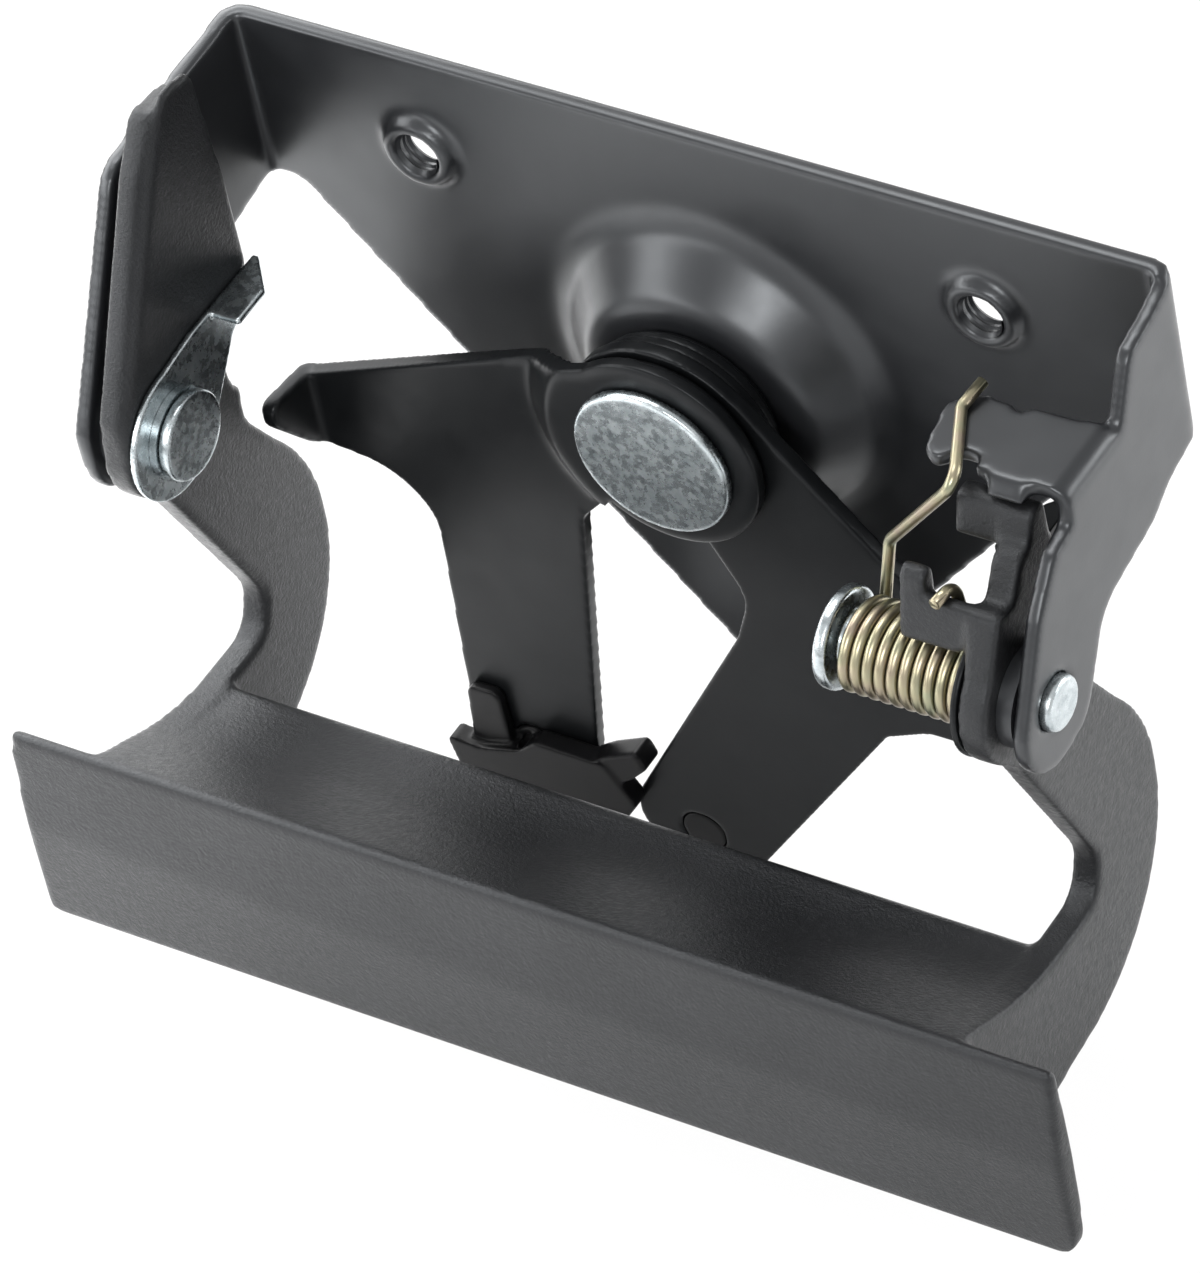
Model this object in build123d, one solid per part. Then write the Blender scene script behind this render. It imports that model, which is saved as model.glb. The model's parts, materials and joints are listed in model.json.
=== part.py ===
from build123d import *
import os
from math import cos, radians, sin, tan

# Tailgate handle: a pressed bracket, a die-cast pull handle hung in it on two
# pivots, two levers that turn with the handle, and two bell cranks on one
# rivet that pull the latch rods. Millimetres, X to the right, Y into the
# tailgate, Z up. The origin is midway between the two threaded holes, on the
# front face of the bracket's web.

# Driving dimensions
SHEET = 2.5
BRACKET_HALF = 74.6
BRACKET_TOP = 16.5
WEB_BOTTOM = -12.6
FOLD_INNER = 0.9
BOLT_SPACING = 89.2
THREAD_R = 3.4
COLLAR_R = 5.6
COLLAR_RISE = 1.9
COLLAR_FOOT_R = 6.8

PIVOT_Y = -41.0
PIVOT_Z = -24.0
PIN_R = 4.0
RUNNING_GAP = 0.05
FIXED_GAP = 0.02
FACE_GAP = 0.05

HUB_Z = -25.7
HUB_R = 15.8
DISH_R = 27.2
DISH_FLAT_R = 15.6
DISH_DEPTH = 8.3
SHANK_R = 5.0

CRANK_PLATE = 2.5
FRONT_HUB_Y = -19.2
ARM_PLANE_Y = -15.7
TAB_LEAN = 8.0

ARM_OUTER = 69.75
ARM_INNER = 65.3
ARM_STEP = 66.5
LIP_HALF = 84.0
LIP_TOP = -63.4
LIP_BOTTOM = -99.9

LEVER_PLATE = 1.0
LEVER_R = 10.2
LEVER_TOP = -12.7
LEVER_REAR = -16.0
LEVER_FLANGE = 5.6

TAB_TOP = 4.4
TAB_LIP = 1.3

WIRE = 1.7
COIL_R = 6.0
COIL_PITCH = 1.85
COIL_START = 45.0
COIL_FROM = -19.0
COIL_TO = 110.0
COIL_FULL_TURNS = 10
LEG_BEND = 2.2

ROD_R = 2.1
CLIP_STEM_R = 3.55
CLIP_FACE = ARM_PLANE_Y - 0.08
CLIP_BACK = ARM_PLANE_Y + CRANK_PLATE + 0.08

PIVOT = (PIVOT_Y, PIVOT_Z)


def outline(*corners):
    """A closed face from corners given as (u, v) or (u, v, corner radius)."""
    points = [(c[0], c[1]) for c in corners]
    radii = [c[2] if len(c) > 2 else 0 for c in corners]
    return make_face(FilletPolyline(*points, radius=radii, close=True))


def side_plate(face, x_low, x_high):
    """Extrude a face drawn in (Y, Z) from x_low to x_high."""
    placed = Plane.YZ.offset(x_low) * face
    return extrude(placed, amount=x_high - x_low, dir=(1, 0, 0))


def front_plate(face, y_front, y_back):
    """Extrude a face drawn in (X, Z) from y_front back to y_back."""
    placed = Plane.XZ.offset(-y_front) * face
    return extrude(placed, amount=y_back - y_front, dir=(0, 1, 0))


def top_plate(face, z_low, z_high):
    """Extrude a face drawn in (X, Y) from z_low up to z_high."""
    placed = Plane.XY.offset(z_low) * face
    return extrude(placed, amount=z_high - z_low, dir=(0, 0, 1))


def pivot_disc(radius, x_low, x_high):
    """A disc about the handle's pivot axis."""
    return side_plate(Pos(*PIVOT) * Circle(radius), x_low, x_high)


def hub_disc(radius, y_front, y_back):
    """A disc about the cranks' axis."""
    return front_plate(Pos(0, HUB_Z) * Circle(radius), y_front, y_back)


def turned_about_hub(*profile):
    """Revolve a (radius, y) profile about the cranks' axis."""
    face = make_face(Polyline(*[(r, y) for r, y in profile], close=True))
    return Pos(0, 0, HUB_Z) * revolve(face, Axis.Y, 360)


def save(shape, node):
    export_step(shape, "parts/" + node + ".step")


# Bracket

def folded_channel():
    """The web and both flanges as one folded U of constant sheet thickness."""
    reach = -62.0
    outer_r = FOLD_INNER + SHEET
    outer = outline(
        (-BRACKET_HALF, reach),
        (BRACKET_HALF, reach),
        (BRACKET_HALF, SHEET, outer_r),
        (-BRACKET_HALF, SHEET, outer_r),
    )
    inner = outline(
        (-BRACKET_HALF + SHEET, reach),
        (BRACKET_HALF - SHEET, reach),
        (BRACKET_HALF - SHEET, 0, FOLD_INNER),
        (-BRACKET_HALF + SHEET, 0, FOLD_INNER),
    )
    return top_plate(outer - inner, -110.0, 20.0)


def web_outline():
    """Straight across the top, and a V below that ends in a rounded point."""
    return outline(
        (-BRACKET_HALF, BRACKET_TOP, 2.5),
        (BRACKET_HALF, BRACKET_TOP, 2.5),
        (BRACKET_HALF, WEB_BOTTOM),
        (67.5, WEB_BOTTOM, 4),
        (0, -92.3, 9),
        (-67.5, WEB_BOTTOM, 4),
        (-BRACKET_HALF, WEB_BOTTOM),
    )


def left_flange_outline():
    return outline(
        (SHEET, BRACKET_TOP, 2),
        (-14.0, 15.5, 30),
        (-31.8, 13.6, 5),
        (-50.8, -20.5, 6),
        (-49.5, -34.2, 8),
        (-34.2, -33.5, 7),
        (-25.2, -19.8, 8),
        (-11.0, -15.0, 12),
        (SHEET, WEB_BOTTOM),
    )


def right_flange_outline():
    return outline(
        (SHEET, BRACKET_TOP, 2),
        (-5.0, 13.8, 4),
        (-11.8, 12.4, 3),
        (-17.0, 2.2, 1),
        (-30.4, 1.6, 0.6),
        (-30.9, -1.4, 0.8),
        (-35.8, -2.4, 3),
        (-41.6, -9.2, 8),
        (-50.6, -27.0, 8),
        (-45.0, -35.2, 8),
        (-34.0, -33.5, 6),
        (-26.4, -20.2, 8),
        (-12.0, -17.6, 8),
        (-6.8, -14.6, 5),
        (SHEET, WEB_BOTTOM),
    )


def stop_tab():
    """The right flange's upper edge, folded in over the arm as stop and spring rest."""
    reach_in = 51.0
    plate = outline(
        (BRACKET_HALF - 2.6, -17.2),
        (62.0, -17.9, 0.6),
        (61.6, -19.6, 0.8),
        (59.4, -18.1, 1),
        (54.6, -17.9, 3),
        (reach_in, -21.0, 2.5),
        (52.4, -29.6, 2),
        (55.0, -31.2, 1.2),
        (57.4, -28.2, 0.8),
        (60.4, -28.4, 0.5),
        (60.6, -30.6, 0.4),
        (BRACKET_HALF - 2.6, -30.4),
    )
    flat = top_plate(plate, TAB_TOP - SHEET, TAB_TOP)
    fold_r = 3.0
    fold_face = outline(
        (BRACKET_HALF - 3.2, TAB_TOP),
        (BRACKET_HALF, TAB_TOP, fold_r),
        (BRACKET_HALF, -1.0),
        (BRACKET_HALF - SHEET, -1.0),
        (BRACKET_HALF - SHEET, TAB_TOP - SHEET, 0.5),
        (BRACKET_HALF - 3.2, TAB_TOP - SHEET),
    )
    fold = front_plate(fold_face, -30.4, -17.2)
    lip_face = outline(
        (-30.0, TAB_TOP - SHEET - 0.2),
        (-30.0, TAB_TOP),
        (-31.0, TAB_TOP, 0.8),
        (-33.0, TAB_LIP, 0.3),
        (-30.9, TAB_LIP),
    )
    lip = side_plate(lip_face, 62.8, 68.6)
    return flat + fold + lip


def dish():
    """Shallow cone pressed forward to carry the crank rivet on a flat."""
    rise = DISH_DEPTH - SHEET
    return turned_about_hub(
        (SHANK_R + FIXED_GAP, -DISH_DEPTH),
        (DISH_FLAT_R, -DISH_DEPTH),
        (DISH_FLAT_R + 2.6, -DISH_DEPTH + 1.0),
        (DISH_R - 3.0, -1.3),
        (DISH_R + 0.4, 0.0),
        (DISH_R + 0.4, SHEET),
        (DISH_R - 1.6, SHEET),
        (DISH_R - 4.6, SHEET - 1.0),
        (DISH_FLAT_R + 0.8, -rise + 0.7),
        (DISH_FLAT_R - 0.8, -rise),
        (SHANK_R + FIXED_GAP, -rise),
    )


def thread_collar(x):
    """Collar drawn forward round a threaded hole, with a rounded foot and rim."""
    front = -COLLAR_RISE
    face = make_face(
        Polyline(
            (THREAD_R, front + 0.4),
            (THREAD_R + 0.4, front),
            (COLLAR_R - 0.5, front),
            (COLLAR_R, front + 0.5),
            (COLLAR_R, -0.8),
            (COLLAR_R + 0.4, -0.2),
            (COLLAR_FOOT_R, 0.0),
            (COLLAR_FOOT_R, SHEET),
            (THREAD_R + 1.0, SHEET),
            (THREAD_R, SHEET - 0.8),
            close=True,
        )
    )
    return Pos(x, 0, 0) * revolve(face, Axis.Y, 360)


def make_bracket():
    channel = folded_channel()
    fold_depth = FOLD_INNER + SHEET
    keep = front_plate(web_outline(), -FOLD_INNER, SHEET)
    keep += side_plate(left_flange_outline(), -BRACKET_HALF, -BRACKET_HALF + fold_depth)
    keep += side_plate(right_flange_outline(), BRACKET_HALF - fold_depth, BRACKET_HALF)
    shape = channel & keep
    shape -= hub_disc(DISH_R, -5.0, SHEET + 1)
    shape += dish()
    for x in (-BOLT_SPACING / 2, BOLT_SPACING / 2):
        shape -= Pos(x, 0, 0) * front_plate(Circle(COLLAR_FOOT_R - 0.3), -1.0, SHEET + 1)
        shape += thread_collar(x)
    shape += stop_tab()
    shape -= pivot_disc(PIN_R + FIXED_GAP, -80.0, 80.0)
    return shape


# Handle

def finger_recess():
    """Everything in front of the arms' hollow edge, down to the trough floor."""
    return outline(
        (-52.5, -26.5),
        (-44.2, -35.6, 6),
        (-30.4, -65.6, 5.4),
        (-33.0, -72.5, 5.0),
        (-50.5, -72.2, 40),
        (-68.4, -63.9),
        (-95.0, -60.0),
        (-95.0, -26.5),
    )


def arm_face(upper):
    """Side view of an arm: upper part, boss, rounded back and foot to the lip."""
    back_centre = (-42.9, -63.4)
    back_r = 29.4
    foot = outline(
        (-44.0, -30.0),
        (-24.9, -30.0),
        (-25.2, -36.6, 6),
        (-19.0, -46.5),
        (-43.0, -92.8),
        (-67.6, -97.4),
        (-67.6, -62.0),
    )
    behind_lip = Pos(-37.6, -60.0) * Rectangle(60.0, 90.0)
    back = Pos(*back_centre) * Circle(back_r) & behind_lip
    face = foot + back + Pos(*PIVOT) * Circle(10.3)
    return face + upper - finger_recess()


def left_upper(front_low, front_high, crown_front, crown_back):
    return outline(
        (-51.2, -24.0),
        front_low,
        front_high,
        crown_front,
        crown_back,
        (-17.4, 3.0),
        (-17.1, -13.4, 3),
        (-27.0, -24.0, 5),
        (-25.0, -34.0),
        (-44.0, -32.0),
    )


def right_upper():
    return outline(
        (-51.2, -24.0),
        (-47.2, -14.4, 2),
        (-44.0, -8.4, 0.6),
        (-40.0, -8.8, 1),
        (-37.0, -4.0, 2),
        (-34.5, -3.4),
        (-32.7, TAB_LIP - 0.5, 1.2),
        (-29.2, TAB_LIP - 0.5, 1.5),
        (-28.4, -9.0, 5),
        (-20.5, -14.6, 4),
        (-26.6, -24.0, 5),
        (-25.0, -34.0),
        (-44.0, -32.0),
    )


def trough_and_lip_section():
    return outline(
        (-69.9, LIP_TOP, 0.9),
        (-71.3, -81.0, 30),
        (-70.8, LIP_BOTTOM, 1.3),
        (-67.9, LIP_BOTTOM + 0.7, 1.0),
        (-67.2, -77.6, 4),
        (-54.5, -76.1, 5),
        (-42.4, -76.4, 1.6),
        (-41.9, -72.8, 1.5),
        (-50.5, -72.2, 40),
        (-67.9, -64.2, 1.2),
    )


def lip_section():
    return outline(
        (-69.9, LIP_TOP, 0.9),
        (-71.3, -81.0, 30),
        (-70.8, LIP_BOTTOM, 1.3),
        (-67.9, LIP_BOTTOM + 0.7, 1.0),
        (-67.4, -81.0, 30),
        (-67.9, -64.2, 1.2),
    )


def lip_front_outline():
    return outline(
        (-LIP_HALF + 0.5, LIP_TOP + 1, 2.5),
        (LIP_HALF, LIP_TOP + 1, 2.5),
        (LIP_HALF + 0.2, LIP_BOTTOM - 0.5, 6),
        (0, LIP_BOTTOM - 1.5),
        (-LIP_HALF - 0.2, LIP_BOTTOM - 0.5, 4),
    )


def spring_hook():
    """Notched block on the right arm that holds the spring's short leg."""
    inner_x = 54.8
    block = outline(
        (-45.8, -15.4, 0.8),
        (-44.0, -8.3, 0.5),
        (-41.6, -8.3, 1.0),
        (-41.6, -15.6, 0.8),
    )
    post = outline(
        (-44.9, -12.0),
        (-43.1, -4.8, 1.1),
        (-40.2, -4.8, 1.1),
        (-41.6, -12.0),
    )
    hook = side_plate(block, inner_x, ARM_OUTER) + side_plate(post, inner_x, 58.6)
    return hook - pivot_disc(LEVER_R + 0.3, ARM_INNER - LEVER_PLATE - 0.3, ARM_INNER)


def stop_block():
    """Bar below the bracket's tab: the return spring seats it there."""
    bar = outline(
        (-34.7, -5.6, 1.0),
        (-32.7, TAB_LIP - 0.35, 1.0),
        (-29.2, TAB_LIP - 0.35, 1.0),
        (-29.2, -4.9, 1.0),
    )
    return side_plate(bar, 58.3, ARM_INNER + 0.5)


def make_handle():
    outer_layer = left_upper(
        (-50.4, -16.5, 4), (-34.0, 15.2, 6), (-28.8, 22.9, 3), (-19.6, 21.6, 3)
    )
    inner_layer = left_upper(
        (-50.0, -18.0, 3), (-30.6, 18.0, 6), (-26.0, 25.2, 3.4), (-19.0, 23.8, 2.6)
    )
    shape = side_plate(arm_face(outer_layer), -ARM_OUTER, -ARM_STEP)
    shape += side_plate(arm_face(inner_layer), -ARM_STEP, -ARM_INNER)
    shape += side_plate(arm_face(right_upper()), ARM_INNER, ARM_OUTER)
    shape += side_plate(trough_and_lip_section(), -ARM_OUTER, ARM_OUTER)
    lip_box = front_plate(lip_front_outline(), -75.0, -64.5)
    shape += side_plate(lip_section(), -LIP_HALF - 2, LIP_HALF + 2) & lip_box
    shape += spring_hook()
    shape += stop_block()
    shape -= pivot_disc(PIN_R + RUNNING_GAP, -80.0, 80.0)
    return shape


# Levers that turn with the handle

def make_lever(side):
    """Flat eye round the pivot, tail back to a flange that presses a crank."""
    face = Pos(*PIVOT) * Circle(LEVER_R)
    face += outline(
        (PIVOT_Y - 3.0, PIVOT_Z + LEVER_R - 0.6),
        (PIVOT_Y, PIVOT_Z + LEVER_R, 0.5),
        (-33.0, LEVER_TOP, 6),
        (LEVER_REAR, LEVER_TOP),
        (LEVER_REAR - 0.6, -15.4, 0.8),
        (-24.8, -19.6, 3),
        (-34.4, -31.6),
        (PIVOT_Y, PIVOT_Z),
    )
    face -= Pos(*PIVOT) * Circle(PIN_R + RUNNING_GAP)
    plate = side_plate(face, ARM_INNER - LEVER_PLATE, ARM_INNER)
    tip_x = ARM_INNER - LEVER_FLANGE
    flange = top_plate(
        outline(
            (ARM_INNER - 0.4, LEVER_REAR),
            (ARM_INNER - LEVER_PLATE, LEVER_REAR, 0.3),
            (tip_x, LEVER_REAR - 5.6, 0.4),
            (tip_x, -28.4, 0.6),
            (ARM_INNER - 0.4, -28.4),
        ),
        LEVER_TOP - LEVER_PLATE,
        LEVER_TOP,
    )
    shape = plate + flange
    return shape if side > 0 else mirror(shape, Plane.YZ)


# Pivots

def make_left_pivot():
    """Rivet with a flat head inside and a peened tail outside the flange."""
    head_x = -ARM_INNER + LEVER_PLATE + 1.1 + 3 * FACE_GAP
    shank = pivot_disc(PIN_R, -BRACKET_HALF - 1.6, head_x)
    head = fillet(pivot_disc(6.6, head_x, head_x + 1.7).edges(), 0.35)
    tail = pivot_disc(5.4, -BRACKET_HALF - 1.5, -BRACKET_HALF)
    tail = chamfer(tail.edges().group_by(Axis.X)[0], 0.7)
    return shank + head + tail


def make_right_pivot():
    """Longer pin: flat head, spring seat, and a plain end outside the flange."""
    head = fillet(pivot_disc(7.3, 41.6, 43.5).edges(), 0.5)
    shank = pivot_disc(PIN_R, 43.0, BRACKET_HALF + 1.3)
    shank = chamfer(shank.edges().group_by(Axis.X)[-1], 0.4)
    return head + shank


def ring_on_pivot(radius, x_low, x_high):
    ring = pivot_disc(radius, x_low, x_high) - pivot_disc(PIN_R + RUNNING_GAP, x_low - 1, x_high + 1)
    return ring


# Return spring

def bent_path(points, radius):
    """Straight runs through the points, joined by tangent arcs."""
    corners = [Vector(*p) for p in points]
    edges = []
    begin = corners[0]
    for before, corner, after in zip(corners, corners[1:], corners[2:]):
        into = (corner - before).normalized()
        out = (after - corner).normalized()
        half = radians(into.get_angle(out)) / 2
        reach = radius * tan(half)
        start = corner - into * reach
        end = corner + out * reach
        inward = (out - into).normalized()
        middle = corner + inward * (radius / cos(half) - radius)
        edges += [Line(begin, start), ThreePointArc(start, middle, end)]
        begin = end
    edges.append(Line(begin, corners[-1]))
    return Wire(edges)


def coil_point(angle, x):
    turn = radians(angle)
    return (x, PIVOT_Y + COIL_R * cos(turn), PIVOT_Z + COIL_R * sin(turn))


def make_spring():
    """Torsion spring: a close coil, a long leg over the tab, a short hooked leg."""
    turns = COIL_FULL_TURNS - (COIL_TO - COIL_FROM) / 360
    height = COIL_PITCH * turns
    wire = Circle(WIRE / 2)
    helix = Helix(COIL_PITCH, height, COIL_R, lefthand=True)
    coil = sweep(Plane(helix @ 0, z_dir=helix % 0) * wire, path=helix, is_frenet=True)
    # The helix is wound about Z from local +X. Here it lies along X, with
    # local X turned to face the tailgate.
    lay = Plane((COIL_START, PIVOT_Y, PIVOT_Z), x_dir=(0, 1, 0), z_dir=(1, 0, 0))
    shape = lay.location * Rot(0, 0, COIL_FROM) * coil
    first = coil_point(COIL_FROM, COIL_START)
    last = coil_point(COIL_TO, COIL_START + height)
    rest_z = TAB_TOP + WIRE / 2 + 0.02
    long_points = [
        first,
        (COIL_START + 0.6, -31.4, -13.7),
        (60.4, -35.3, rest_z),
        (54.1, -22.1, rest_z),
        (54.8, -17.4, rest_z + 0.6),
    ]
    short_points = [
        last,
        (last[0] - 0.2, -40.6, -17.5),
        (61.4, -40.6, -7.4),
        (61.0, -45.0, -7.4),
    ]
    for points in (long_points, short_points):
        leg = bent_path(points, LEG_BEND)
        shape += sweep(Plane(leg @ 0, z_dir=leg % 0) * wire, path=leg)
    for point in (first, last):
        shape += Pos(*point) * Sphere(WIRE / 2)
    return shape


# Cranks

def crank_hole():
    return hub_disc(SHANK_R + RUNNING_GAP, -30.0, 0.0)


def front_crank_outline():
    face = outline(
        (-10.0, -13.4),
        (-24.4, -18.9, 14),
        (-61.0, -34.4),
        (-61.6, -47.6),
        (-50.0, -49.0, 12),
        (-43.9, -56.0, 10),
        (-45.9, -97.0, 4),
        (-43.0, -107.0, 6),
        (-28.0, -107.0, 6),
        (-24.8, -97.0, 4),
        (-18.0, -47.2, 3),
        (-11.4, -40.0, 6),
        (0, HUB_Z),
    )
    return face + Pos(0, HUB_Z) * Circle(HUB_R)


def make_front_crank():
    """Hub in front of the rear crank, stepped back to arms in its plane."""
    back = ARM_PLANE_Y + CRANK_PLATE
    pressed = turned_about_hub(
        (0, FRONT_HUB_Y),
        (17.6, FRONT_HUB_Y),
        (22.2, ARM_PLANE_Y),
        (110.0, ARM_PLANE_Y),
        (110.0, back),
        (21.2, back),
        (16.6, FRONT_HUB_Y + CRANK_PLATE),
        (0, FRONT_HUB_Y + CRANK_PLATE),
    )
    shape = pressed & front_plate(front_crank_outline(), -25.0, -10.0)
    shape += crank_tab(-60.6, -34.4, -47.6, -1, 8.2)
    shape -= crank_hole()
    shape -= Pos(-35.4, 0, -99.0) * front_plate(Circle(3.6), -30.0, 0.0)
    return shape


def crank_tab(x, z_top, z_bottom, side, reach):
    """The end of a crank's arm, folded forward to meet the lever's flange."""
    lean = sin(radians(TAB_LEAN))
    forward = cos(radians(TAB_LEAN))
    out = side * CRANK_PLATE
    y = ARM_PLANE_Y + CRANK_PLATE
    tip_x = x + side * reach * lean
    tip_y = ARM_PLANE_Y - reach * forward
    plan = outline(
        (x, y - CRANK_PLATE),
        (tip_x, tip_y),
        (tip_x + out, tip_y),
        (x + out, y, 2.2),
        (x, y),
    )
    blank = top_plate(plan, z_bottom, z_top)
    span = z_top - z_bottom
    shape = outline(
        (y, z_top),
        (tip_y, z_top, 1.5),
        (tip_y, z_top - 0.28 * span, 3),
        (ARM_PLANE_Y - 0.25 * reach, z_bottom + 0.12 * span, 2),
        (ARM_PLANE_Y, z_bottom),
        (y, z_bottom),
    )
    return blank & side_plate(shape, -80.0, 80.0)


def rear_crank_outline():
    face = outline(
        (8.0, -12.0),
        (12.6, -15.7, 4),
        (32.2, -38.2, 20),
        (51.2, -57.6),
        (48.6, -69.6),
        (34.0, -70.2, 6),
        (26.8, -73.6, 3),
        (0.5, -110.2, 6),
        (-9.0, -119.0, 7),
        (-19.6, -107.4, 6),
        (-18.6, -101.9, 4),
        (4.4, -62.6, 12),
        (7.6, -53.6, 8),
        (2.0, -42.6),
        (0, HUB_Z),
    )
    return face + Pos(0, HUB_Z) * Circle(HUB_R)


def make_rear_crank():
    shape = front_plate(rear_crank_outline(), ARM_PLANE_Y, ARM_PLANE_Y + CRANK_PLATE)
    shape += crank_tab(48.7, -57.6, -69.6, 1, 8.2)
    shape -= crank_hole()
    shape -= Pos(-8.6, 0, -106.6) * front_plate(Circle(3.6), -30.0, 0.0)
    return shape


def ring_on_rivet(radius, y_front, y_back):
    bore = hub_disc(SHANK_R + RUNNING_GAP, y_front - 1, y_back + 1)
    return hub_disc(radius, y_front, y_back) - bore


def make_crank_rivet():
    """Wide flat head in front, shank through the stack, peened tail behind."""
    head = hub_disc(12.2, FRONT_HUB_Y - 1.8, FRONT_HUB_Y - FACE_GAP)
    head = fillet(head.edges(), 0.45)
    tail_y = -DISH_DEPTH + SHEET
    shank = hub_disc(SHANK_R, FRONT_HUB_Y - 1.0, tail_y + 1.5)
    tail = chamfer(hub_disc(8.0, tail_y, tail_y + 2.2).edges().group_by(Axis.Y)[-1], 0.9)
    return head + shank + tail


# Rod clips

def clip_stem(x, z):
    """Stem of a rod clip, filling the crank's hole from its front face."""
    return Pos(x, 0, z) * front_plate(Circle(CLIP_STEM_R), ARM_PLANE_Y + 0.1, CLIP_BACK + 1.5)


def rod_bore(x, z, bottom):
    """Blind bore for the rod's bent end, which enters from behind."""
    return Pos(x, 0, z) * front_plate(Circle(ROD_R), bottom, 0.0)


def make_front_clip():
    """Plastic rod clip on the front crank: body, stem, finger and side wing."""
    front = CLIP_FACE - 3.4
    hole = (-35.4, -99.0)
    body = front_plate(
        outline(
            (-48.8, -99.0, 0.8),
            (-43.0, -99.6, 6),
            (-36.4, -97.6, 2.0),
            (-33.0, -94.6, 2.0),
            (-21.4, -94.8, 1.0),
            (-16.9, -101.4, 2.0),
            (-20.4, -106.6, 3.0),
            (-26.0, -110.6, 3.0),
            (-46.2, -110.6, 3.0),
        ),
        front,
        CLIP_FACE,
    )
    finger = front_plate(
        outline((-45.2, -100.4), (-38.4, -99.8), (-38.8, -88.4, 1.6), (-44.4, -88.8, 1.6)),
        front + 1.6,
        CLIP_FACE,
    )
    wing = front_plate(
        outline(
            (-25.0, -96.0),
            (-21.6, -93.6, 1.5),
            (-15.4, -90.4, 0.8),
            (-14.2, -93.4, 0.6),
            (-17.4, -96.8, 1.0),
            (-20.8, -99.2),
            (-25.0, -99.2),
        ),
        front + 0.4,
        CLIP_FACE + 1.2,
    )
    wing -= front_plate(front_crank_outline(), CLIP_FACE, 0.0)
    neck = Pos(hole[0], 0, hole[1]) * front_plate(Circle(CLIP_STEM_R), CLIP_FACE - 0.2, ARM_PLANE_Y + 0.1)
    foot = Pos(hole[0], 0, hole[1]) * front_plate(Circle(4.6), CLIP_BACK, CLIP_BACK + 1.7)
    shape = body + finger + wing + neck + clip_stem(*hole) + foot
    return shape - rod_bore(*hole, front + 1.1)


def make_rear_clip():
    """The same kind of clip behind the rear crank, its stem flush in front."""
    hole = (-8.6, -106.6)
    body = front_plate(
        outline(
            (-17.0, -103.0, 1.0),
            (-6.0, -98.5, 2.0),
            (3.0, -101.0, 1.5),
            (-1.5, -108.5, 1.0),
            (-5.2, -118.0, 2.0),
            (-16.0, -111.4, 2.0),
        ),
        CLIP_BACK,
        CLIP_BACK + 3.4,
    )
    return body + clip_stem(*hole) - rod_bore(*hole, ARM_PLANE_Y + 1.1)


os.makedirs("parts", exist_ok=True)

save(make_bracket(), "bracket")
save(make_handle(), "handle")
save(make_lever(-1), "left_lever")
save(make_lever(1), "right_lever")

save(make_left_pivot(), "left_pivot_rivet")
save(make_right_pivot(), "right_pivot_pin")
head_gap = ARM_INNER - LEVER_PLATE - FACE_GAP
save(ring_on_pivot(6.9, -head_gap, -head_gap + 1.1), "left_head_washer")
flange_in = BRACKET_HALF - SHEET
save(ring_on_pivot(7.5, -flange_in, -ARM_OUTER - FACE_GAP), "left_gap_washer")
save(ring_on_pivot(7.5, ARM_OUTER + FACE_GAP, flange_in), "right_gap_washer")
save(make_spring(), "return_spring")

save(make_crank_rivet(), "crank_rivet")
save(make_front_crank(), "front_crank")
save(make_rear_crank(), "rear_crank")
front_back = FRONT_HUB_Y + CRANK_PLATE
rear_back = ARM_PLANE_Y + CRANK_PLATE
save(ring_on_rivet(14.4, front_back + FACE_GAP, ARM_PLANE_Y - FACE_GAP), "crank_middle_washer")
save(ring_on_rivet(15.0, rear_back + FACE_GAP, -11.3), "crank_spacer")
save(ring_on_rivet(14.4, -11.3, -9.7), "crank_back_washer")
save(ring_on_rivet(13.4, -9.7, -DISH_DEPTH), "crank_seat_washer")
save(make_front_clip(), "front_rod_clip")
save(make_rear_clip(), "rear_rod_clip")
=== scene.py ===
"""Looks for the tailgate handle, in metres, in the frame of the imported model."""

import json
from math import cos, radians, sin

import bpy
from mathutils import Matrix, Vector


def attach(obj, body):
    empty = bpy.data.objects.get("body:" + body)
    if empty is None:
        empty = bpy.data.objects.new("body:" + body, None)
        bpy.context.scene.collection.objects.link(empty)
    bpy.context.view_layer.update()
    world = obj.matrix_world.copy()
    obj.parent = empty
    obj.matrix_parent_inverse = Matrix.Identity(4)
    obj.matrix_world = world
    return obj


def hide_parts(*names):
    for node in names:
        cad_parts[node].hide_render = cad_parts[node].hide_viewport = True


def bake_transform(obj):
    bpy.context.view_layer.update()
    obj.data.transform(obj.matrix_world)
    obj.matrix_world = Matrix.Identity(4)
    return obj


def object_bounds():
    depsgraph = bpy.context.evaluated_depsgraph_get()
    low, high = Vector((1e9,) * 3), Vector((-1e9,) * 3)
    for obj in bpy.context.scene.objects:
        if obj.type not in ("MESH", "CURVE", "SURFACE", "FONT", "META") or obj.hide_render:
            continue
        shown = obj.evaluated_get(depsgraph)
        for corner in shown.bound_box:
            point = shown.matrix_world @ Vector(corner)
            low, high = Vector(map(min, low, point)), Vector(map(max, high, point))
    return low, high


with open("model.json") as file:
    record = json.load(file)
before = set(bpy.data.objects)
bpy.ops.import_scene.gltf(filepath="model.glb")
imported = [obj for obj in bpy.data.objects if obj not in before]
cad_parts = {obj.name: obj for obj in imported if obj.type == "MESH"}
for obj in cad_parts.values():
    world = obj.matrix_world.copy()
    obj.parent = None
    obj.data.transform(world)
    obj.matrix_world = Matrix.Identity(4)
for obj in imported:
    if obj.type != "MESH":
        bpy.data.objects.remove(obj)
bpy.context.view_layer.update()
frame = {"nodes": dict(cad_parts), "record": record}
nodes = frame["nodes"]
MM = 0.001


# Camera, fitted to the photograph

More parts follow.
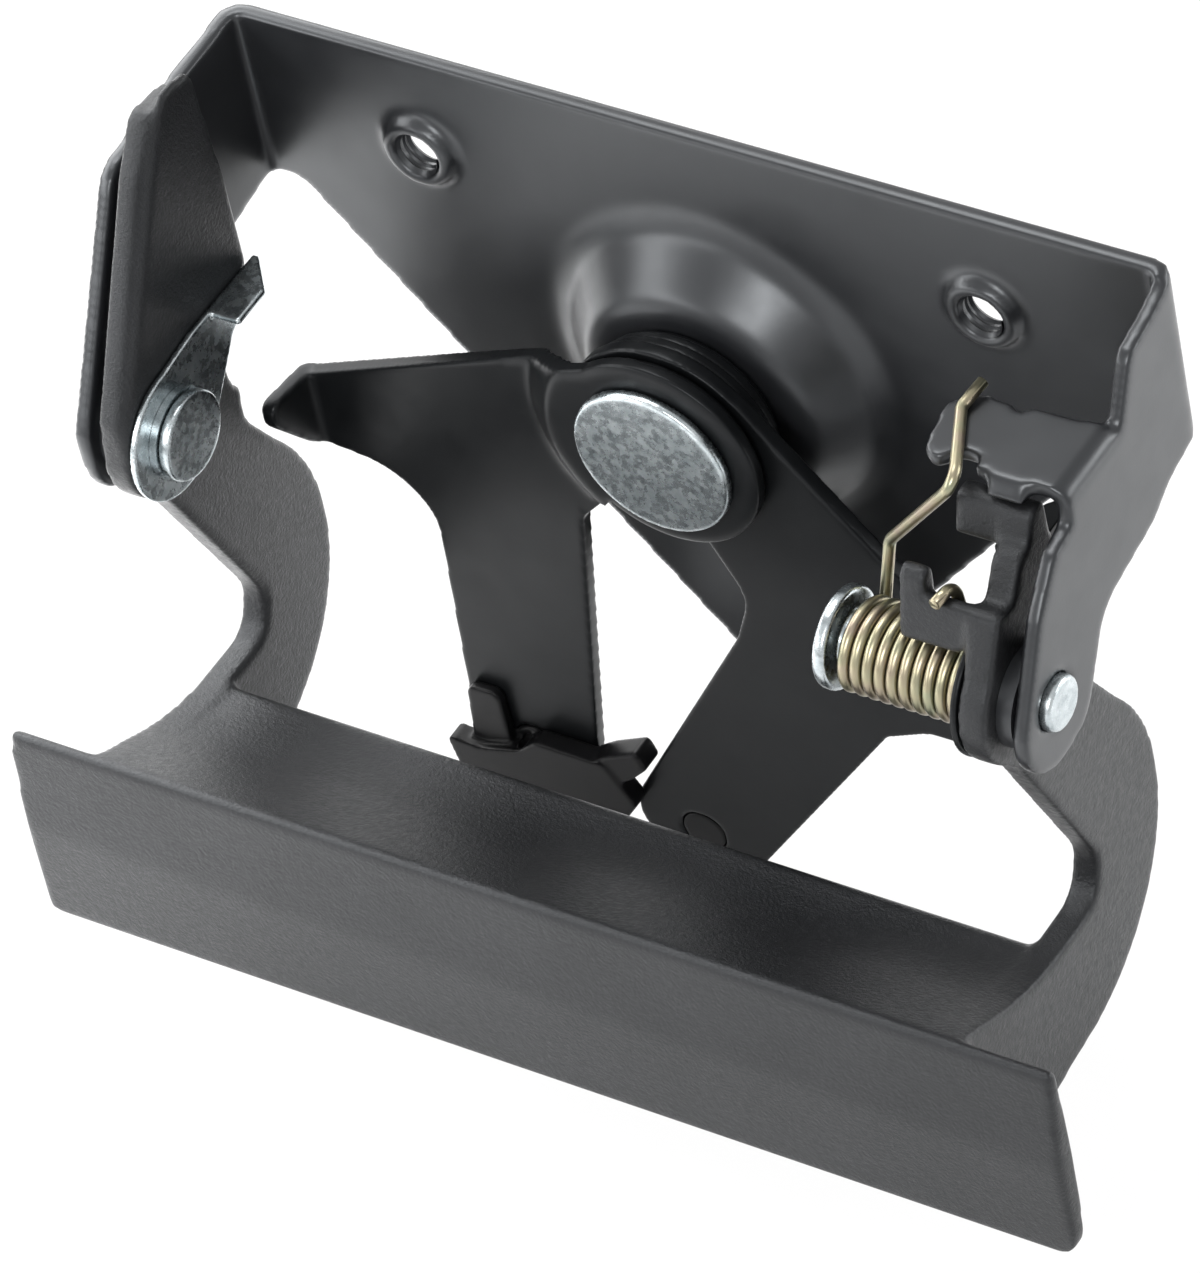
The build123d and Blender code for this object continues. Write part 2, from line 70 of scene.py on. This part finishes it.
CAMERA_AZIMUTH = radians(39.78)
CAMERA_ELEVATION = radians(43.86)
CAMERA_ROLL = radians(-12.6)
CAMERA_DISTANCE = 1.1999
CAMERA_TARGET = Vector((3.14, -43.67, -36.3)) * MM
CAMERA_LENS = 251.57
CAMERA_SENSOR = 36
CAMERA_SHIFT = 3.5 / 1273
CAMERA_NEAR = 0.05
CAMERA_FAR = 20


def make_camera():
    """The camera looks down on the target from its azimuth, turned by its roll."""
    a, e, r = CAMERA_AZIMUTH, CAMERA_ELEVATION, CAMERA_ROLL
    back = Vector((sin(a) * cos(e), -cos(a) * cos(e), sin(e)))
    level = Vector((cos(a), sin(a), 0))
    upright = back.cross(level)
    right = level * cos(r) + upright * sin(r)
    up = upright * cos(r) - level * sin(r)
    data = bpy.data.cameras.new("camera")
    data.lens = CAMERA_LENS
    data.sensor_width = CAMERA_SENSOR
    data.shift_x = CAMERA_SHIFT
    data.clip_start = CAMERA_NEAR
    data.clip_end = CAMERA_FAR
    camera = bpy.data.objects.new("camera", data)
    turn = Matrix((right, up, back)).transposed().to_4x4()
    place = CAMERA_TARGET + back * CAMERA_DISTANCE
    camera.matrix_world = Matrix.Translation(place) @ turn
    bpy.context.scene.collection.objects.link(camera)
    bpy.context.scene.camera = camera


make_camera()


# Materials

NEUTRAL = (1, 1, 1)
# Bluish tint on the black coats' reflections: painted colour of the light
BLUISH_LIGHT_TINT = (0.93, 0.965, 1.0)
NOISE_MIDDLE = (0.3, 0.7)
FAINT_RELIEF = (0.00002, 0.3)
CAST_RELIEF = (0.00016, 0.9)


def noise(tree, place, scale, detail=3.0, roughness=0.55):
    """A noise over the piece, from 0 to 1."""
    node = tree.nodes.new("ShaderNodeTexNoise")
    node.inputs["Scale"].default_value = scale
    node.inputs["Detail"].default_value = detail
    node.inputs["Roughness"].default_value = roughness
    tree.links.new(place, node.inputs["Vector"])
    return node.outputs["Fac"]


def ramp(tree, value, stops):
    """A colour ramp with stops of (position, (r, g, b))."""
    node = tree.nodes.new("ShaderNodeValToRGB")
    marks = node.color_ramp.elements
    while len(marks) < len(stops):
        marks.new(0.5)
    for mark, (position, colour) in zip(marks, stops):
        mark.position = position
        mark.color = (*colour, 1)
    tree.links.new(value, node.inputs["Fac"])
    return node.outputs["Color"]


def spread(tree, value, low, high):
    """Stretch the middle of a noise over the range from low to high."""
    node = tree.nodes.new("ShaderNodeMapRange")
    node.inputs["From Min"].default_value = NOISE_MIDDLE[0]
    node.inputs["From Max"].default_value = NOISE_MIDDLE[1]
    node.inputs["To Min"].default_value = low
    node.inputs["To Max"].default_value = high
    tree.links.new(value, node.inputs["Value"])
    return node.outputs["Result"]


def bump(tree, height, distance, strength):
    """A normal that follows a height."""
    node = tree.nodes.new("ShaderNodeBump")
    node.inputs["Strength"].default_value = strength
    node.inputs["Distance"].default_value = distance
    tree.links.new(height, node.inputs["Height"])
    return node.outputs["Normal"]


def make_material(
    name,
    cloud,
    stops,
    gloss,
    grain=None,
    relief=FAINT_RELIEF,
    metallic=0.0,
    ior=1.5,
    tint=NEUTRAL,
):
    """A Principled material on Object coordinates.

    cloud and grain are noises: a scale, then a detail and a roughness where
    they aren't the usual ones. cloud runs over the colour stops, and grain
    raises the surface by relief, a distance in metres and a strength. gloss is
    the scale of a noise and the two roughnesses that it runs between.
    """
    material = bpy.data.materials.new(name)
    material.use_nodes = True
    tree = material.node_tree
    shader = tree.nodes["Principled BSDF"].inputs
    shader["Metallic"].default_value = metallic
    shader["IOR"].default_value = ior
    shader["Specular Tint"].default_value = (*tint, 1)
    place = tree.nodes.new("ShaderNodeTexCoord").outputs["Object"]
    colour = ramp(tree, noise(tree, place, *cloud), stops)
    tree.links.new(colour, shader["Base Color"])
    scale, low, high = gloss
    roughness = spread(tree, noise(tree, place, scale), low, high)
    tree.links.new(roughness, shader["Roughness"])
    if grain:
        normal = bump(tree, noise(tree, place, *grain), *relief)
        tree.links.new(normal, shader["Normal"])
    return material


# Satin dip coat on pressed sheet: deep, smooth, faintly clouded
COAT = make_material(
    "black_coat",
    cloud=(45,),
    stops=((0.35, (0.0075, 0.008, 0.0092)), (0.65, (0.0115, 0.012, 0.0135))),
    gloss=(160, 0.32, 0.39),
    grain=(2600, 2.0),
    ior=1.56,
    tint=BLUISH_LIGHT_TINT,
)

# A darker copy of the black coat with less sheen, for the cranks, the right lever and the
# crank washers: painted shade where the handle hides what they reflect
CRANK_SHADE_COAT = make_material(
    "crank_coat_painted_shade",
    cloud=(60,),
    stops=((0.35, (0.003, 0.0033, 0.0038)), (0.65, (0.0055, 0.006, 0.0065))),
    gloss=(160, 0.3, 0.38),
    grain=(2200, 2.0),
    ior=1.25,
    tint=BLUISH_LIGHT_TINT,
)

# Black coat on die-cast metal: a fine even grain with small pits
CASTING = make_material(
    "black_casting",
    cloud=(60,),
    stops=((0.35, (0.006, 0.0062, 0.0068)), (0.65, (0.0095, 0.0097, 0.0106))),
    gloss=(900, 0.3, 0.44),
    grain=(1700, 4.0, 0.7),
    relief=CAST_RELIEF,
    ior=1.4,
    tint=BLUISH_LIGHT_TINT,
)

# Bright zinc: bluish, lightly mottled
ZINC = make_material(
    "zinc_plate",
    cloud=(420, 5.0, 0.7),
    stops=((0.32, (0.31, 0.35, 0.365)), (0.68, (0.52, 0.56, 0.575))),
    gloss=(800, 0.2, 0.34),
    grain=(900, 4.0, 0.6),
    metallic=1.0,
)

# Yellow passivated zinc on spring wire, with faint pink and green tints
YELLOW = make_material(
    "yellow_zinc",
    cloud=(240, 2.0),
    stops=(
        (0.3, (0.27, 0.275, 0.19)),
        (0.5, (0.31, 0.28, 0.19)),
        (0.7, (0.32, 0.265, 0.205)),
    ),
    gloss=(900, 0.3, 0.4),
    metallic=1.0,
)

# Black moulded plastic of the rod clips
PLASTIC = make_material(
    "black_plastic",
    cloud=(90,),
    stops=((0.3, (0.004, 0.004, 0.0045)), (0.7, (0.007, 0.007, 0.0075))),
    gloss=(500, 0.3, 0.38),
    grain=(1800, 2.0),
    ior=1.22,
)


# Pieces made from the frame's own nodes

RECORD = frame["record"]
BODY_OF = {
    node: body
    for body, group in RECORD["behaviour"]["bodies"].items()
    for node in group
}

MERGE_DISTANCE = 0.00001
FLAT_ANGLE = radians(0.6)
SMOOTH_FACTOR = 0.5

# The crank rivet's axis in x and z, in mm, and how far a face has to look along it
RIVET_AXIS = Vector((0.0, -25.7))
RING_FACING = 0.45

# Node: material, cell in mm and smoothing passes. The last group is a ring round
# the crank rivet: its inner and outer radius in mm, and its own passes.
SKINS = {
    "bracket": (COAT, 0.62, 6, (15.0, 31.0, 16)),
    "handle": (CASTING, 0.61, 6),
    # The cranks, the right lever and the crank washers take the darker coat: painted shade
    "front_crank": (CRANK_SHADE_COAT, 0.38, 7, (13.0, 27.0, 40)),
    "rear_crank": (CRANK_SHADE_COAT, 0.38, 7),
    "left_lever": (ZINC, 0.23, 2),
    "right_lever": (CRANK_SHADE_COAT, 0.25, 2),
    "front_rod_clip": (PLASTIC, 0.29, 8),
    "rear_rod_clip": (PLASTIC, 0.28, 4),
    "crank_rivet": (ZINC, 0.36, 3),
    "crank_spacer": (CRANK_SHADE_COAT, 0.36, 3),
    "crank_back_washer": (CRANK_SHADE_COAT, 0.36, 3),
    "crank_seat_washer": (CRANK_SHADE_COAT, 0.36, 3),
    "left_pivot_rivet": (ZINC, 0.25, 3),
    "right_pivot_pin": (ZINC, 0.3, 3),
}

# Nodes that keep their own mesh
PLAIN = {
    "left_gap_washer": COAT,
    "right_gap_washer": COAT,
    "crank_middle_washer": CRANK_SHADE_COAT,
    "left_head_washer": ZINC,
}

# Threads in the two mounting collars, in mm. The tooth's corners are given by
# their radius and by their place along the bore.
BOLT_SPACING = 89.2
THREAD_START = -1.3
THREAD_PITCH = 1.25
THREAD_ANGLE = 305
THREAD_ROUNDS = 3
THREAD_STEPS = 40
THREAD_TOOTH = ((3.1, 0.0), (3.5, 0.55), (3.5, -0.55))
THREAD_EDGE = radians(30)


def work_on(piece):
    """Make one object the only selected one, and the active one."""
    bpy.ops.object.select_all(action="DESELECT")
    piece.select_set(True)
    bpy.context.view_layer.objects.active = piece


def apply_modifier(piece, kind, **settings):
    """Add a modifier with these settings and apply it."""
    modifier = piece.modifiers.new(kind.lower(), kind)
    for setting, value in settings.items():
        setattr(modifier, setting, value)
    work_on(piece)
    bpy.ops.object.modifier_apply(modifier=modifier.name)


def joined_copy(node):
    """A copy of a node's mesh with its facets joined and its flat faces whole."""
    piece = bpy.data.objects.new(node + "_skin", nodes[node].data.copy())
    bpy.context.scene.collection.objects.link(piece)
    work_on(piece)
    bpy.ops.object.mode_set(mode="EDIT")
    bpy.ops.mesh.select_all(action="SELECT")
    bpy.ops.mesh.remove_doubles(threshold=MERGE_DISTANCE)
    bpy.ops.mesh.dissolve_limited(angle_limit=FLAT_ANGLE)
    bpy.ops.object.mode_set(mode="OBJECT")
    return piece


def give_material(piece, material):
    """Give a piece one material in place of its own."""
    piece.data.materials.clear()
    piece.data.materials.append(material)


def dress(piece, node, material):
    """Let a piece stand for its node: its own finish, smooth faces, the node hidden."""
    work_on(piece)
    bpy.ops.object.shade_smooth()
    give_material(piece, material)
    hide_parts(node)


def soften_ring(piece, inner, outer, passes):
    """Round the bends in a ring round the crank rivet, and leave its rims alone."""
    group = piece.vertex_groups.new(name="ring")
    marked = []
    for point in piece.data.vertices:
        reach = (Vector((point.co.x, point.co.z)) - RIVET_AXIS * MM).length
        if inner * MM < reach < outer * MM and abs(point.normal.y) > RING_FACING:
            marked.append(point.index)
    group.add(marked, 1.0, "REPLACE")
    apply_modifier(
        piece,
        "SMOOTH",
        factor=SMOOTH_FACTOR,
        iterations=passes,
        vertex_group=group.name,
    )
    piece.vertex_groups.clear()


def make_skin(node, material, cell, passes, ring=None):
    """Replace a node by a skin whose edges and inner corners are softly rounded.

    The skin is the node's own shape rebuilt from cells of one size. More passes
    give larger radii.
    """
    piece = joined_copy(node)
    apply_modifier(
        piece, "REMESH", mode="VOXEL", voxel_size=cell * MM, adaptivity=0.0
    )
    apply_modifier(piece, "SMOOTH", factor=SMOOTH_FACTOR, iterations=passes)
    if ring:
        soften_ring(piece, *ring)
    dress(piece, node, material)
    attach(piece, BODY_OF[node])


def make_spring_skin():
    """A smooth copy of the spring wire, from its long leg on the bracket to the handle's
    hook.
    """
    piece = joined_copy("return_spring")
    dress(piece, "return_spring", YELLOW)
    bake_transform(piece)


def make_thread(x):
    """Thread ridges inside the collar at x: one tooth wound along the bore."""
    bpy.ops.object.select_all(action="DESELECT")
    bpy.ops.mesh.primitive_circle_add(vertices=len(THREAD_TOOTH), fill_type="NGON")
    thread = bpy.context.object
    thread.name = "left_thread" if x < 0 else "right_thread"
    for corner, (radius, along) in zip(thread.data.vertices, THREAD_TOOTH):
        corner.co = (radius * MM, 0, along * MM)
    apply_modifier(
        thread,
        "SCREW",
        axis="Z",
        angle=radians(THREAD_ANGLE),
        screw_offset=THREAD_PITCH * THREAD_ANGLE / 360 * MM,
        iterations=THREAD_ROUNDS,
        steps=THREAD_STEPS,
        render_steps=THREAD_STEPS,
        use_merge_vertices=False,
    )
    thread.data.transform(Matrix.Rotation(radians(-90), 4, "X"))
    thread.data.transform(Matrix.Translation(Vector((x, THREAD_START, 0)) * MM))
    work_on(thread)
    bpy.ops.object.mode_set(mode="EDIT")
    bpy.ops.mesh.select_all(action="SELECT")
    bpy.ops.mesh.normals_make_consistent(inside=False)
    bpy.ops.object.mode_set(mode="OBJECT")
    bpy.ops.object.shade_smooth_by_angle(angle=THREAD_EDGE)
    thread.data.materials.append(COAT)
    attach(thread, "bracket_body")


for node_name, row in SKINS.items():
    make_skin(node_name, *row)
for node_name, finish in PLAIN.items():
    give_material(nodes[node_name], finish)
make_spring_skin()
for thread_x in (-BOLT_SPACING / 2, BOLT_SPACING / 2):
    make_thread(thread_x)


# Floor, light and background

PALE = (0.9, 0.9, 0.9, 1)
WHITE = (1, 1, 1, 1)
FLOOR_SIZE = 8
FLOOR_GAP = 0.0005
FLOOR_ROUGHNESS = 0.9
FLOOR_GLOW_SEEN = 0.92
FLOOR_GLOW_MIRRORED = 0.3
FILL_STRENGTH = 0.55

# Lamp: place, target, size and watts
LAMPS = {
    "key": ((0.3, -1.0, 0.65), (0, -0.03, -0.03), (0.45, 0.4), 8),
    "top": ((-0.35, 0.15, 1.0), (0, -0.03, -0.05), (0.5, 0.5), 7),
    "floor_left": ((-0.36, -0.08, 0.1), (-0.36, -0.08, -0.1), (0.44, 0.9), 8),
    "floor_right": ((0.5, 0.35, 0.1), (0.5, 0.35, -0.1), (0.5, 0.5), 6),
}


def calculate(tree, operation, first, second):
    """A sum on two inputs, each one a socket or a number."""
    node = tree.nodes.new("ShaderNodeMath")
    node.operation = operation
    for slot, value in zip(node.inputs, (first, second)):
        if isinstance(value, float):
            slot.default_value = value
        else:
            tree.links.new(value, slot)
    return node.outputs[0]


def mix_shaders(tree, share, first, second, output):
    """Mix two shaders by a share of the second, and send them to the output."""
    mix = tree.nodes.new("ShaderNodeMixShader")
    tree.links.new(share, mix.inputs["Fac"])
    tree.links.new(first, mix.inputs[1])
    tree.links.new(second, mix.inputs[2])
    tree.links.new(mix.outputs["Shader"], tree.nodes[output].inputs["Surface"])


def make_floor():
    """A pale floor that glows for the camera, and a little in mirrored rays."""
    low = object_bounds()[0]
    bpy.ops.object.select_all(action="DESELECT")
    bpy.ops.mesh.primitive_plane_add(
        size=FLOOR_SIZE, location=(0, 0, low.z - FLOOR_GAP)
    )
    floor = bpy.context.object
    floor.name = "floor"
    material = bpy.data.materials.new("pale_floor")
    material.use_nodes = True
    tree = material.node_tree
    matt = tree.nodes["Principled BSDF"]
    matt.inputs["Base Color"].default_value = PALE
    matt.inputs["Roughness"].default_value = FLOOR_ROUGHNESS
    glow = tree.nodes.new("ShaderNodeEmission")
    glow.inputs["Strength"].default_value = 1.0
    ray = tree.nodes.new("ShaderNodeLightPath").outputs
    seen = calculate(tree, "MULTIPLY", ray["Is Camera Ray"], FLOOR_GLOW_SEEN)
    mirrored = calculate(
        tree, "MULTIPLY", ray["Is Glossy Ray"], FLOOR_GLOW_MIRRORED
    )
    share = calculate(tree, "ADD", seen, mirrored)
    mix_shaders(
        tree,
        share,
        matt.outputs["BSDF"],
        glow.outputs["Emission"],
        "Material Output",
    )
    floor.data.materials.append(material)


def make_world():
    """A dim fill on the part, and near white where the world itself is seen."""
    world = bpy.data.worlds.new("studio")
    world.use_nodes = True
    tree = world.node_tree
    fill = tree.nodes["Background"]
    fill.inputs["Color"].default_value = WHITE
    fill.inputs["Strength"].default_value = FILL_STRENGTH
    backdrop = tree.nodes.new("ShaderNodeBackground")
    backdrop.inputs["Color"].default_value = PALE
    backdrop.inputs["Strength"].default_value = 1.0
    ray = tree.nodes.new("ShaderNodeLightPath").outputs
    share = calculate(tree, "MAXIMUM", ray["Is Camera Ray"], ray["Is Glossy Ray"])
    mix_shaders(
        tree,
        share,
        fill.outputs["Background"],
        backdrop.outputs["Background"],
        "World Output",
    )
    bpy.context.scene.world = world


def make_lamp(name, place, target, size, watts):
    """An area lamp at a place, aimed at its target."""
    data = bpy.data.lights.new(name, "AREA")
    data.shape = "RECTANGLE"
    data.size, data.size_y = size
    data.energy = watts
    lamp = bpy.data.objects.new(name, data)
    aim = (Vector(target) - Vector(place)).to_track_quat("-Z", "Y")
    lamp.matrix_world = Matrix.Translation(place) @ aim.to_matrix().to_4x4()
    bpy.context.scene.collection.objects.link(lamp)


make_floor()
make_world()
for lamp_name, row in LAMPS.items():
    make_lamp(lamp_name, *row)
bpy.context.scene.view_settings.view_transform = "Standard"
